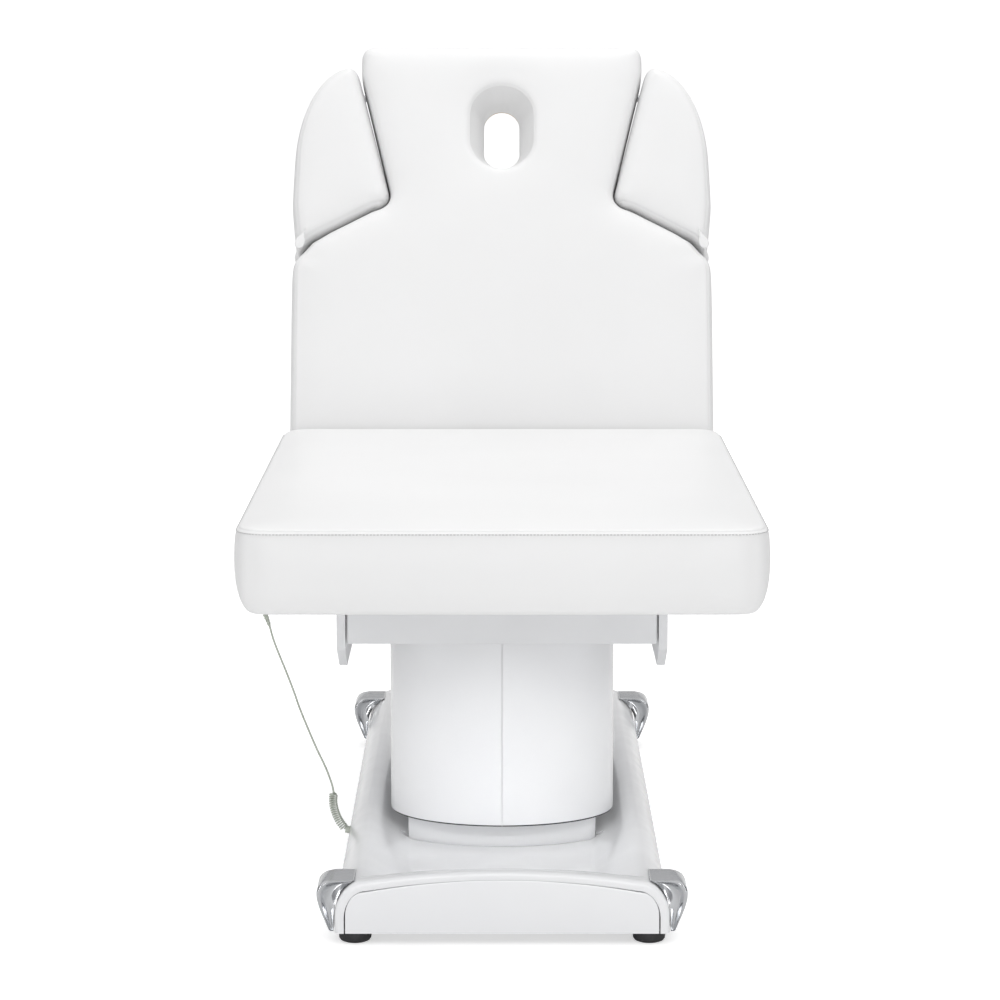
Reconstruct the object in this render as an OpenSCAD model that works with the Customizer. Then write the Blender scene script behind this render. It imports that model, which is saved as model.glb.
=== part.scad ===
// Facial treatment bed: a one-piece seat and a reclining back with a face opening and two
// sliding arm pads, carried by a telescopic lift column on a long, low base.
// Millimetres. X runs across the bed, Y from the foot end to the head end, Z is up.
// The origin is on the floor, under the centre of the bed with its back raised.

/* [Seat] */
// Width of the seat and the back
seat_w = 700; // [660:5:720]
// Length of the seat cushion
seat_l = 1060; // [1000:10:1080]
// Thickness of the seat, board included
seat_t = 111; // [105:1:115]
// Height of the seat's top at the lowest lift position
seat_top = 610; // [605:1:615]

/* [Back] */
// Angle of the raised back above the horizontal
back_angle = 71; // [71:0.5:72]
// Length of the back from its hinge to the head end
back_l = 700; // [690:5:720]
// Width of the back at the head end, between the arm pads
head_w = 472; // [460:2:480]
// How far each arm pad slides out
pad_travel = 120; // [60:5:130]

/* [Lift] */
// Travel of the lift column
lift_travel = 240; // [200:5:245]
// Width of the outer column cover
cover_w = 338; // [328:2:340]
// Length of the outer column cover
cover_l = 676; // [660:4:690]

/* [Base] */
// Width of the base shell
base_w = 468; // [460:2:470]
// Length of the base
base_l = 1308; // [1290:2:1310]
// Height of the arched crest at each end of the base
crest_z = 105; // [100:1:108]
// Screw-out travel of the levelling feet
foot_travel = 12; // [5:1:14]

/* [Hidden] */
$fn = 48;
gap = 0.3;                                  // clearance between pieces that move past each other

// Places along the bed
seat_front = -732;                          // top front seam of the seat
seat_rear = seat_front + seat_l;
seat_bottom = seat_top - seat_t;
pivot_y = seat_rear + 57;                   // back hinge
pivot_z = seat_top - 55;
base_y = 84;                                // middle of the base and of the column
base_front = base_y - base_l / 2;
base_rear = base_y + base_l / 2;

// Base
shell_z = 15;                               // underside of the shell and the frame
shell_wall = 4;
deck_z = 53;                                // floor of the tray around the column
frame_top = 45;
rail_x = 206;                               // middle of each base rail, and the feet
rail_w = 36;
foot_y = [base_front + 23, base_rear - 23];
end_gap = 0.4;                              // gap around the end panels
cap_l = 68;                                 // corner caps
cap_top = 89;
cap_set = 8;                                // distance of a cap behind the end of the shell

// Column
plate_z = 372;                              // underside of the lift's top plate
plate_t = 8;
platform_z = plate_z + plate_t;
frame_z = seat_bottom - 25;                 // underside of the seat frame
cover_z = 90;                               // bottom of the outer cover
inner_top = 364;                            // top of the inner cover
inner_half_w = 141;
inner_half_l = cover_l / 2 - 56;

// Back
back_half = 55;                             // half the thickness of the back
board_t = 18;
hole_y = 554;                               // middle of the face opening, along the back
ear_x = 215;                                // hinge ears on the seat frame
arm_x = 207;                                // hinge arms on the back frame
rod_z = -68;                                // arm pad rods, behind the back board
rod_ys = [462, 640];

// Back actuator: it turns about a pin on the lift's top plate and pushes the back's lever
act_y = pivot_y - 430;
act_z = pivot_z - 150;
lever_r = 110;
lever_lean = back_angle / 2;                // of the lever from straight down, at each end of its swing
pin_rest = [lever_r * sin(lever_lean), -lever_r * cos(lever_lean)];
act_run = [pivot_y + pin_rest[0] - act_y, pivot_z + pin_rest[1] - act_z];
act_len = norm(act_run);
act_angle = atan2(act_run[1], act_run[0]);

// Handset and its cord
hand_y = -135;
hand_x = -368;                              // outer face of the handset
hand_z = [396, 498];
button_travel = 1.5;
cord_d = 3;
coil_d = 14.5;
relief_top = [-360, hand_y, 396];
relief_tip = [-351, hand_y, 370];
lead_route = [relief_tip, [-343, hand_y, 342], [-326, hand_y, 298], [-315, hand_y, 268],
              [-304, hand_y, 236], [-283, hand_y, 184], [-268, hand_y, 151], [-259, hand_y, 126],
              [-256.1, hand_y, 113]];
coil_route = [[-256, hand_y, 112], [-257, hand_y, 97], [-254, hand_y, 82], [-248, hand_y, 68],
              [-239, hand_y, 56]];
socket_z = 52;

white = [0.95, 0.95, 0.95];
shell_white = [0.92, 0.92, 0.93];
frame_grey = [0.86, 0.86, 0.84];
steel = [0.55, 0.56, 0.58];
chrome = [0.75, 0.76, 0.78];
nylon = [0.85, 0.85, 0.8];
black = [0.08, 0.08, 0.09];
cord_grey = [0.62, 0.64, 0.6];
wood = [0.72, 0.58, 0.42];

// ---------- points ----------

// Points on a circle or an ellipse, from angle a0 to a1
function arc(c, rx, ry, a0, a1, n = 8) =
    [for (i = [0 : n]) let (a = a0 + (a1 - a0) * i / n) c + [rx * cos(a), ry * sin(a)]];

// A rectangle w by l with round corners, about the origin
function rounded(w, l, r, n = 8) = concat(
    arc([w / 2 - r, l / 2 - r], r, r, 0, 90, n), arc([r - w / 2, l / 2 - r], r, r, 90, 180, n),
    arc([r - w / 2, r - l / 2], r, r, 180, 270, n), arc([w / 2 - r, r - l / 2], r, r, 270, 360, n));

function flip(points) = [for (i = [len(points) - 1 : -1 : 0]) [-points[i][0], points[i][1]]];

// The arched outline of the base seen from its end: a flat bottom, upright sides, round
// shoulders and a crest that drops towards the sides
function arch(side, crest, drop, rx, rz) =
    let (x1 = side - rx, z1 = crest - drop * pow(x1 / side, 2),
         half = concat([[side, shell_z]], arc([x1, z1 - rz], rx, rz, 0, 90, 10),
                       [for (i = [7 : -1 : 1]) let (x = x1 * i / 8) [x, crest - drop * pow(x / side, 2)]]))
    concat(half, [[0, crest]], flip(half));

function shell_arch(inset = 0) =
    arch(base_w / 2 - inset, crest_z - inset, 21.4, 44 - inset, 53 - inset);
function fascia_arch(inset = 0) = arch(base_w / 2 - 13.5 - inset, crest_z - 12 - inset, 22.9, 26, 36);

// The outer column cover in plan: straight sides and elliptical ends
function cover_plan(inset) =
    let (rx = cover_w / 2 - inset, ry = 130 - inset, y1 = cover_l / 2 - 130)
    concat(arc([0, y1], rx, ry, 0, 180, 24), arc([0, -y1], rx, ry, 180, 360, 24));

// The inner column cover in plan: straight sides and bowed ends that meet at a corner
function inner_plan(inset) =
    let (r = 224, bow = asin(inner_half_w / r), x = inner_half_w - inset, c = inner_half_l + 36 - r)
    [for (side = [1, -1], i = [-12 : 12]) let (a = bow * i / 12)
        [-side * x / inner_half_w * r * sin(a), side * (c + (r - inset) * cos(a))]];

// A smooth curve through the points of a route, as n points for each span
function spline(p, n) = concat(
    [for (i = [0 : len(p) - 2], k = [0 : n - 1]) let (
        a = p[max(i - 1, 0)], b = p[i], c = p[i + 1], d = p[min(i + 2, len(p) - 1)], t = k / n)
        0.5 * (2 * b + (c - a) * t + (2 * a - 5 * b + 4 * c - d) * t * t + (3 * b - a - 3 * c + d) * t * t * t)],
    [p[len(p) - 1]]);

// ---------- shapes ----------

module upright(z0, z1) { translate([0, 0, z0]) linear_extrude(z1 - z0) children(); }
// An outline drawn as (X, Z), pulled along Y
module along_y(y0, y1) { translate([0, y1, 0]) rotate([90, 0, 0]) linear_extrude(y1 - y0) children(); }
// An outline drawn as (Y, Z), pulled along X
module along_x(x0, x1) { translate([x0, 0, 0]) rotate([90, 0, 90]) linear_extrude(x1 - x0) children(); }
module box(low, high) { translate(low) cube(high - low); }
// A round bar along X through the point (y, z)
module bar_x(x0, x1, y, z, r) { translate([x0, y, z]) rotate([0, 90, 0]) cylinder(h = x1 - x0, r = r); }
module tube_y(x, y0, y1, w, z0, z1, wall = 3) {
    difference() {
        box([x - w / 2, y0, z0], [x + w / 2, y1, z1]);
        box([x - w / 2 + wall, y0 - 1, z0 + wall], [x + w / 2 - wall, y1 + 1, z1 - wall]);
    }
}
module tube_x(x0, x1, y, w, z0, z1, wall = 3) {
    difference() {
        box([x0, y - w / 2, z0], [x1, y + w / 2, z1]);
        box([x0 - 1, y - w / 2 + wall, z0 + wall], [x1 + 1, y + w / 2 - wall, z1 - wall]);
    }
}
module ring(outer, inner, z0, z1) {
    difference() {
        upright(z0, z1) polygon(outer);
        upright(z0 - 1, z1 + 1) polygon(inner);
    }
}
module both_sides() { children(); mirror([1, 0, 0]) children(); }
module on_base() { translate([0, base_y, 0]) children(); }
module other_end() { on_base() mirror([0, 1, 0]) translate([0, -base_y, 0]) children(); }
// The back is drawn lying flat, with its hinge at the origin and its head end along +Y
module on_back() { translate([0, pivot_y, pivot_z]) rotate([back_angle, 0, 0]) children(); }
// The back actuator is drawn along +Y from its front pin
module on_actuator() { translate([0, act_y, act_z]) rotate([act_angle, 0, 0]) children(); }

// A tube of n sides swept along a route that lies in one plane of constant Y
module swept(route, r, n) {
    last = len(route) - 1;
    rings = [for (i = [0 : last]) let (
        d = route[min(i + 1, last)] - route[max(i - 1, 0)], u = d / norm(d), side = [u[2], 0, -u[0]])
        for (k = [0 : n - 1]) route[i] + r * (cos(360 * k / n) * side + sin(360 * k / n) * [0, 1, 0])];
    polyhedron(rings, concat(
        [[for (k = [0 : n - 1]) k]], [[for (k = [n - 1 : -1 : 0]) last * n + k]],
        [for (i = [0 : last - 1], k = [0 : n - 1]) let (j = (k + 1) % n)
            [i * n + k, (i + 1) * n + k, (i + 1) * n + j, i * n + j]]));
}

// ---------- base ----------

// Two long rails, cross tubes at the feet and a plate under the column, welded together
module base_frame() color(steel) {
    plate_l = 620;
    difference() {
        union() {
            both_sides() tube_y(rail_x, base_front + 14, base_rear - 14, rail_w, shell_z, frame_top);
            for (y = foot_y) tube_x(-rail_x + rail_w / 2, rail_x - rail_w / 2, y + (y < 0 ? 13 : -13),
                                    30, shell_z, frame_top);
            box([rail_w / 2 - rail_x, base_y - plate_l / 2, frame_top - 8],
                [rail_x - rail_w / 2, base_y + plate_l / 2, frame_top]);
            for (x = [-rail_x, rail_x], y = foot_y) translate([x, y, shell_z]) cylinder(h = 30, r = 13);
        }
        for (x = [-rail_x, rail_x], y = foot_y) translate([x, y, 0]) cylinder(h = 60, r = 5.05);
        for (x = [-110, 110], y = [-110, 110]) translate([x, base_y + y, 0]) cylinder(h = 60, r = 4.2);
    }
}

// The moulded tray: rounded rims along both sides, an arched lip at each end
module base_shell() color(shell_white) {
    tray_y = base_l / 2 - 50;
    channel = [[152, 48], [229, 48], [227, 62], [219, 74], [205, 82], [198, 81]];
    difference() {
        along_y(base_front, base_rear) polygon(shell_arch());
        // tray
        on_base() hull() {
            upright(deck_z, deck_z + 0.1)
                polygon([[-128, -tray_y], [128, -tray_y], [144, 0], [128, tray_y], [-128, tray_y], [-144, 0]]);
            upright(115, 115.1) square([472, 2 * tray_y + 72], center = true);
        }
        // hollow underside
        box([-base_w / 2 + shell_wall, base_front + 9, 0], [base_w / 2 - shell_wall, base_rear - 9, deck_z - 4]);
        both_sides() along_y(base_front + 40, base_rear - 40) polygon(channel);
        // recesses for the end panels
        along_y(base_front - 1, base_front + 4) polygon(concat([[220.5, 0]], fascia_arch(-end_gap), [[-220.5, 0]]));
        along_y(base_rear - 4, base_rear + 1) polygon(concat([[220.5, 0]], fascia_arch(-end_gap), [[-220.5, 0]]));
        // openings for the column, the handset socket and the mains inlet
        on_base() upright(deck_z - 8, deck_z + 8) polygon(inner_plan(-6));
        bar_x(-base_w / 2 - 10, -base_w / 2 + 30, hand_y, socket_z, 6.8);
        box([115, base_rear - 20, 18], [165, base_rear + 1, 47]);
    }
}

module fascia() {
    along_y(base_front, base_front + 4) polygon(fascia_arch());
}
module front_fascia() color(shell_white) fascia();
module rear_fascia() color(shell_white) difference() {
    other_end() fascia();
    box([115, base_rear - 20, 18], [165, base_rear + 1, 47]);
}

// One polished cap over the shoulder of the shell, drawn for the front right corner
module corner_cap() {
    outer = concat([[234 + gap, shell_z], [243, shell_z], [246, 18], [258, 58], [260, 68]],
                   arc([240, 68], 20, cap_top - 68, 10, 90, 8), [[206, cap_top]]);
    shoulder = arc([190, 37.8], 44 + gap, 53 + gap, 69, 0, 10);
    color(chrome) along_y(base_front + cap_set, base_front + cap_set + cap_l) polygon(concat(outer, shoulder));
}
module corner_cap_front_right() corner_cap();
module corner_cap_front_left() mirror([1, 0, 0]) corner_cap();
module corner_cap_rear_right() other_end() corner_cap();
module corner_cap_rear_left() other_end() mirror([1, 0, 0]) corner_cap();

// A levelling foot: a pad moulded on a threaded stem
module foot(x, y) color(black) translate([x, y, 0]) {
    rotate_extrude() polygon([[0, 0], [17, 0], [20.5, 1.5], [22.5, 4.5], [23, 8], [23, 14.7], [0, 14.7]]);
    translate([0, 0, 14]) cylinder(h = 26, r = 5);
}
module foot_front_left() foot(-rail_x, foot_y[0]);
module foot_front_right() foot(rail_x, foot_y[0]);
module foot_rear_left() foot(-rail_x, foot_y[1]);
module foot_rear_right() foot(rail_x, foot_y[1]);

module inner_cover() color(shell_white) on_base() ring(inner_plan(0), inner_plan(2), frame_top, inner_top);

// ---------- lift column ----------

column = [240, 180];                        // outer profile; each stage fits inside the one before
step = 18;                                  // difference in width between two stages
column_r = 10;

module profile(k, wall, z0, z1) {
    w = column - [k * step, k * step];
    on_base() ring(rounded(w[0], w[1], column_r), rounded(w[0] - 2 * wall, w[1] - 2 * wall, column_r - wall + 1),
                   z0, z1);
}
// A nylon collar that fills the space between stage k and the next, but for the running clearance
module collar(k, wall, z0, z1) {
    w = column - [k * step + 2 * wall, k * step + 2 * wall];
    v = column - [(k + 1) * step - 2 * gap, (k + 1) * step - 2 * gap];
    on_base() ring(rounded(w[0], w[1], column_r - wall + 1), rounded(v[0], v[1], column_r), z0, z1);
}
module column_outer() color(steel) {
    profile(0, 5, frame_top, 340);
    on_base() difference() {
        ring(rounded(270, 270, 20), rounded(column[0], column[1], column_r), frame_top, frame_top + 8);
        for (x = [-110, 110], y = [-110, 110]) translate([x, y, 0]) cylinder(h = 80, r = 4.2);
    }
}
module column_outer_glides() color(nylon) collar(0, 5, 290, 340);
module column_middle() color(steel) profile(1, 4, 56, 352);
module column_middle_glides() color(nylon) collar(1, 4, 302, 352);
module column_inner() color(steel) profile(2, 4, 66, plate_z);

// Telescopic drive in the middle of the column: motor and gearbox below, two sliding tubes above
module lift_actuator_body() color(steel) on_base() {
    difference() {
        union() {
            box([-46, -34, frame_top], [92, 34, 92]);
            upright(92, 330) circle(r = 25);
            translate([60, 0, 92]) cylinder(h = 110, r = 30);
        }
        upright(96, 340) circle(r = 21.5 + gap);
    }
}
module lift_actuator_mid_tube() color(chrome) on_base() difference() {
    upright(98, 350) circle(r = 21.5);
    upright(104, 360) circle(r = 17.5 + gap);
}
module lift_actuator_rod() color(chrome) on_base() difference() {
    upright(108, plate_z) circle(r = 17.5);
    upright(100, plate_z - 20) circle(r = 14);
}

module control_box() color(black) on_base() difference() {
    box([-80, -232, frame_top], [80, -156, 105]);
    box([-77, -229, frame_top + 3], [77, -159, 102]);
}

module base_bolts() color(steel) for (x = [-110, 110], y = [-110, 110]) translate([x, base_y + y, 0]) {
    translate([0, 0, frame_top - 8]) cylinder(h = 16, r = 4);
    translate([0, 0, frame_top + 8]) cylinder(h = 6, r = 7);
}

module mains_inlet() color(black) difference() {
    union() {
        box([115.3, base_rear - 18, 18.3], [164.7, base_rear, 46.7]);
        box([110, base_rear, shell_z + 1], [170, base_rear + 2, 49]);
    }
    box([124, base_rear - 14, 23], [156, base_rear + 3, 42]);
}

module handset_socket() color(black) difference() {
    union() {
        bar_x(-base_w / 2 - 4, -base_w / 2 + 22, hand_y, socket_z, 6.6);
        bar_x(-base_w / 2 - 4, -base_w / 2 - 0.5, hand_y, socket_z, 11);
    }
    bar_x(-base_w / 2 + 4, -base_w / 2 + 23, hand_y, socket_z, 4.6);
}

// ---------- upper carriage ----------

module lift_top_plate() color(steel) difference() {
    union() {
        on_base() upright(plate_z, platform_z) polygon(rounded(316, 640, 90));
        // lugs for the back actuator's front pin
        both_sides() along_x(18, 26) polygon([[act_y - 16, platform_z - 1], [act_y + 16, platform_z - 1],
            [act_y + 12, act_z + 8], [act_y + 6, act_z + 13], [act_y - 6, act_z + 13], [act_y - 12, act_z + 8]]);
    }
    bar_x(-40, 40, act_y, act_z, 6);
    for (p = bolt_places) translate([p[0], p[1], plate_z - 5]) cylinder(h = 20, r = 4.2);
}

// Half of the outer column cover: a folded sheet with a flange under the top plate
module cover_half() color(shell_white) difference() {
    on_base() union() {
        ring(cover_plan(0), cover_plan(3), cover_z, plate_z - gap);
        ring(cover_plan(1), cover_plan(20), plate_z - 3 - gap, plate_z - gap);
    }
    box([-400, base_y - 400, 0], [0.25, base_y + 400, 500]);
}
module outer_cover_right() cover_half();
module outer_cover_left() mirror([1, 0, 0]) cover_half();

beam_y = -335;                              // front face of the front beam
spar_x = 130;                               // spars on the top plate
bolt_places = [for (x = [-spar_x, spar_x], y = [-150, base_y, 300]) [x, y]];

// Front beam, two spars and a rear cross bar, welded together
module platform_frame() color(frame_grey) difference() {
    union() {
        tube_x(-224, 224, beam_y + 20, 40, plate_z + 9, frame_z);
        both_sides() tube_y(spar_x, beam_y + 40, 340, 40, platform_z, frame_z);
        box([-spar_x + 20, 312, platform_z], [spar_x - 20, 340, platform_z + 25]);
    }
    for (p = bolt_places) translate([p[0], p[1], plate_z]) cylinder(h = 15, r = 4.2);
}

module side_plate() color(frame_grey) along_x(227, 240) polygon([
    [beam_y, plate_z], [beam_y + 68, plate_z - 36], [beam_y + 262, plate_z - 36],
    [beam_y + 300, plate_z + 10], [beam_y + 300, frame_z], [beam_y, frame_z]]);
module side_plate_right() side_plate();
module side_plate_left() mirror([1, 0, 0]) side_plate();

// Rails, cross tubes, a flat rear bar with a foot on each spar, and the two hinge ears
module seat_frame() color(frame_grey) difference() {
    union() {
        both_sides() tube_y(237.5, seat_front + 142, 302, 25, frame_z, seat_bottom);
        for (y = [seat_front + 154.5, -430, -307.5, -137.5])
            tube_x(-225, 225, y, 25, frame_z, seat_bottom);
        box([-225, 262, frame_z + 17], [225, 302, seat_bottom]);
        both_sides() box([spar_x - 20, 262, frame_z], [spar_x + 20, 302, frame_z + 18]);
        both_sides() {
            along_x(ear_x - 4 + gap, ear_x + 4) polygon([[262, frame_z], [pivot_y - 30, frame_z],
                [pivot_y + 13, pivot_z - 9], [pivot_y - 11, pivot_z + 12], [seat_rear + 5, seat_bottom + 12],
                [seat_rear + 5, seat_bottom - 1], [262, seat_bottom - 1]]);
            bar_x(ear_x - 4 + gap, ear_x + 4, pivot_y, pivot_z, 16);
        }
    }
    bar_x(-260, 260, pivot_y, pivot_z, 8);
}

seat_board_w = seat_w - 40;
module seat_board_shape() {
    translate([0, (seat_front + seat_rear) / 2, 0]) upright(seat_bottom, seat_bottom + board_t)
        polygon(rounded(seat_board_w, seat_l - 40, 60));
}
module seat_board() color(wood) seat_board_shape();

// The cushion bulges a little beyond its seams, and its lower edges are round
module seat_cushion() color(white) {
    bulge = 4.5;
    w = seat_w / 2 + bulge;
    section = concat([[w - 2, seat_top], [w, seat_top - 22], [w, seat_bottom + 38]],
                     arc([w - 36, seat_bottom + 36], 36, 36, 0, -90, 6));
    difference() {
        intersection() {
            translate([0, (seat_front - bulge + seat_rear) / 2, 0])
                upright(seat_bottom, seat_top) polygon(rounded(2 * w, seat_l + bulge, 72));
            along_y(seat_front - bulge, seat_rear) polygon(concat(section, flip(section)));
        }
        seat_board_shape();
    }
}

module back_hinge_pins() color(chrome) both_sides() {
    bar_x(arm_x - 7, ear_x + 5, pivot_y, pivot_z, 8);
    bar_x(ear_x + 4.3, ear_x + 9, pivot_y, pivot_z, 12);
}

module frame_bolts() color(steel) for (p = bolt_places) translate([p[0], p[1], 0]) {
    translate([0, 0, plate_z - 5]) cylinder(h = 5, r = 7);
    translate([0, 0, plate_z - 1]) cylinder(h = 14, r = 4);
}

// ---------- handset ----------

module handset_outline(inset) {
    translate([hand_y, (hand_z[0] + hand_z[1]) / 2])
        polygon(rounded(50 - 2 * inset, hand_z[1] - hand_z[0] - 2 * inset, 12 - inset));
}
button_places = [for (z = [470, 440], y = [-11, 11]) [hand_y + y, z]];

module handset_front() color(frame_grey) difference() {
    along_x(hand_x, hand_x + 11) handset_outline(0);
    along_x(hand_x + 2.5, hand_x + 12) handset_outline(2.5);
    for (p = button_places) bar_x(hand_x - 1, hand_x + 5, p[0], p[1], 7);
}
module handset_back() color(frame_grey) difference() {
    along_x(hand_x + 11, hand_x + 21.7) handset_outline(0);
    along_x(hand_x + 10, hand_x + 19.2) handset_outline(2.5);
    bar_x(hand_x + 18, hand_x + 23, hand_y, 480, 4);
}
// A bent strip under the seat frame with a peg that carries the handset
module handset_hook() color(steel) union() {
    box([-343, hand_y - 15, frame_z - 4], [-240.3, hand_y + 15, frame_z]);
    box([-346, hand_y - 15, frame_z - 34], [-343, hand_y + 15, frame_z + 20]);
    bar_x(-351, -345, hand_y, 480, 3.6);
}
module button(k) color(cord_grey) {
    p = button_places[k];
    bar_x(hand_x - button_travel, hand_x + 6, p[0], p[1], 6.7);
    bar_x(hand_x + 2.8, hand_x + 5, p[0], p[1], 8.5);
}
module button_lift_up() button(0);
module button_back_up() button(1);
module button_lift_down() button(2);
module button_back_down() button(3);

module handset_strain_relief() color(cord_grey) {
    run = relief_tip - relief_top;
    translate(relief_top) rotate([0, 180 - atan2(-run[0], -run[2]) , 0])
        translate([0, 0, -2]) cylinder(h = norm(run) + 2, r1 = 5, r2 = 3);
}
module cord_lead() color(cord_grey) swept(spline(lead_route, 4), cord_d / 2, 8);
module cord_coil() color(cord_grey) swept(spline(coil_route, 3), coil_d / 2, 12);

// ---------- back ----------

// Outline of the back cushion, lying flat: full width at the hinge, shoulders cut away for the
// arm pads and a narrower head end
head = head_w / 2;
function back_outline(inset) =
    let (w = seat_w / 2 - inset, t = back_l - inset, h = head - inset,
         half = concat([[w, 0], [w, 300]], arc([w - 30, 312], 30, 30, 0, 60, 4),
                       [[316 - inset, 360 - inset / 2]],
                       [[212 - inset, 414 - inset]], arc([212 - inset, 440 - inset], 26, 26, -100, -190, 5),
                       [[h, t - 48]], arc([h - 18, t - 18], 18, 18, 0, 90, 5)))
    concat(half, [[0, t]], flip(half));

// Arm pad outline for the right side: its inner and lower edges follow the back 2.5 mm away
function pad_outline(inset) =
    let (e = inset)
    concat(arc([212 + e, 440 + e], 23.5, 23.5, -190, -100, 5),
           [[213.2 + e, 416.2 + e], [317.2 - e, 362.4 + e], [336.5 - e, 341 + e],
            [343 - e, 341 + e], [351 - e, 423], [348 - e, 490]],
           arc([248, 490], 100 - e, 176 - e, 8, 84, 10),
           [[250 + e, 662 - e], [243 + e, 655 - e], [239 + e, 645 - e]]);

module face_opening() {
    // wide at the cushion's face, narrow at the board
    translate([0, hole_y, 0]) hull() {
        upright(back_half, back_half + 1) polygon(rounded(108, 145, 54));
        upright(-8, -7) polygon(rounded(60, 112, 30));
    }
    translate([0, hole_y, 0]) upright(-back_half - 40, 0) polygon(rounded(60, 112, 30));
}
// Space for the hinge ear and arm in the cushion and the board
module hinge_notches() {
    both_sides() along_x(arm_x - 7, ear_x + 12) polygon([[-62, -60], [84, -60], [84, -50], [28, -20],
                                                         [24, 28], [-24, 28], [-62, 52]]);
}
module back_board_shape() {
    difference() {
        upright(-back_half, -back_half + board_t) intersection() {
            polygon(back_outline(14));
            translate([-400, 8]) square([800, 900]);
        }
        hinge_notches();
    }
}
module back_board() color(wood) on_back() difference() {
    back_board_shape();
    face_opening();
}
module back_cushion() color(white) on_back() difference() {
    union() {
        upright(-back_half, back_half) polygon(back_outline(0));
        bar_x(2 - seat_w / 2, seat_w / 2 - 2, 0, 0, back_half);
    }
    back_board_shape();
    face_opening();
    hinge_notches();
}

slot_ends = [[-62.5, -88], [-53, -73.5]];   // lever slot, in the frame of the flat back
tube_top = -back_half;
tube_low = tube_top - 25;
module slot(x0, x1, r) {
    run = slot_ends[1] - slot_ends[0];
    a = atan2(run[1], run[0]);
    along_x(x0, x1) polygon(concat(arc(slot_ends[1], r, r, a - 90, a + 90, 12),
                                   arc(slot_ends[0], r, r, a + 90, a + 270, 12)));
}

// Spars, cross tubes, hinge arms, the actuator's lever and the sockets of the arm pads
module back_frame() color(frame_grey) on_back() difference() {
    union() {
        both_sides() {
            tube_y(160, 40, 676, 25, tube_low, tube_top);
            along_x(arm_x - 4, arm_x + 4) polygon([[-10, -12], [12, -12], [74, tube_top], [74, tube_low],
                                                   [30, tube_low], [-14, -30]]);
            bar_x(arm_x - 4, arm_x + 4, 0, 0, 16);
            along_x(18, 26) polygon([[64, -57.5], [64, tube_low], [-48, -104], [-76, -98], [-68, -66],
                                     [-56, -57.7]]);
            slot(18, 26, 15.5);
            for (y = rod_ys) bar_x(60, 212, y, rod_z, 10.6);
        }
        for (y = [52, 330, 652]) tube_x(-210, 210, y + (y > 600 ? 12 : 0), 24, tube_low, tube_top);
    }
    both_sides() {
        bar_x(arm_x - 5, arm_x + 5, 0, 0, 10);
        for (y = rod_ys) bar_x(30, 240, y, rod_z, 6.05);
    }
    slot(-30, 30, 10.5);
    box([-16, -110, -140], [16, 30, -20]);
}
module hinge_bushes() color(nylon) on_back() both_sides() difference() {
    bar_x(arm_x - 4, arm_x + 4, 0, 0, 10);
    bar_x(arm_x - 6, arm_x + 6, 0, 0, 8.05);
}

// ---------- back actuator ----------

module back_actuator_housing() color(black) on_actuator() difference() {
    union() {
        bar_x(-16, 16, 0, 0, 14);
        box([-16, 0, -12], [16, 30, 12]);
        box([-26, 24, -18], [92, 90, 24]);
        translate([60, 90, 4]) rotate([-90, 0, 0]) cylinder(h = 120, r = 24);
        translate([0, 88, 0]) rotate([-90, 0, 0]) cylinder(h = 247, r = 19);
    }
    bar_x(-20, 20, 0, 0, 6.05);
    translate([0, 100, 0]) rotate([-90, 0, 0]) cylinder(h = 240, r = 10.05);
}
module back_actuator_rod() color(chrome) on_actuator() difference() {
    union() {
        translate([0, 236, 0]) rotate([-90, 0, 0]) cylinder(h = act_len - 248, r = 10);
        bar_x(-15, 15, act_len, 0, 14);
    }
    bar_x(-20, 20, act_len, 0, 6);
}
// The rear pin rides with the rod; the lever's slot leaves it room
module back_actuator_pins() color(chrome) on_actuator() {
    bar_x(-29, 29, act_len, 0, 6);
}

// ---------- arm pads ----------

module pad_cushion() color(white) on_back() upright(-27, back_half - 2) polygon(pad_outline(0));
module pad_board() color(wood) on_back() upright(-45, -27) polygon(pad_outline(8));
// A plate under the pad's board, two ribs and two rods that run in the back frame's sockets
module pad_bracket() color(steel) on_back() {
    box([252, rod_ys[0] - 10, -51], [312, rod_ys[1] - 30, -45]);
    for (y = rod_ys) {
        box([252, y - 10, rod_z - 8], [260, y + 10, y > 600 ? -62 : -50]);
        bar_x(40, 256, y, rod_z, 6);
    }
    box([252, rod_ys[1] - 40, rod_z - 8], [260, rod_ys[1] + 10, -56]);
    box([252, rod_ys[1] - 40, -57], [260, rod_ys[1] - 30, -50]);
}
module pad_cushion_right() pad_cushion();
module pad_board_right() pad_board();
module pad_bracket_right() pad_bracket();
module pad_cushion_left() mirror([1, 0, 0]) pad_cushion();
module pad_board_left() mirror([1, 0, 0]) pad_board();
module pad_bracket_left() mirror([1, 0, 0]) pad_bracket();

// ---------- assembly ----------

base_frame();
base_shell();
front_fascia();
rear_fascia();
corner_cap_front_left();
corner_cap_front_right();
corner_cap_rear_left();
corner_cap_rear_right();
foot_front_left();
foot_front_right();
foot_rear_left();
foot_rear_right();
inner_cover();
column_outer();
column_outer_glides();
lift_actuator_body();
control_box();
mains_inlet();
handset_socket();
base_bolts();
cord_coil();
column_middle();
column_middle_glides();
lift_actuator_mid_tube();
column_inner();
lift_actuator_rod();
lift_top_plate();
outer_cover_left();
outer_cover_right();
platform_frame();
side_plate_left();
side_plate_right();
seat_frame();
seat_board();
seat_cushion();
back_hinge_pins();
frame_bolts();
handset_hook();
handset_back();
handset_front();
handset_strain_relief();
cord_lead();
button_lift_up();
button_lift_down();
button_back_up();
button_back_down();
back_frame();
back_board();
back_cushion();
hinge_bushes();
back_actuator_housing();
back_actuator_rod();
back_actuator_pins();
pad_cushion_left();
pad_board_left();
pad_bracket_left();
pad_cushion_right();
pad_board_right();
pad_bracket_right();
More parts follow.
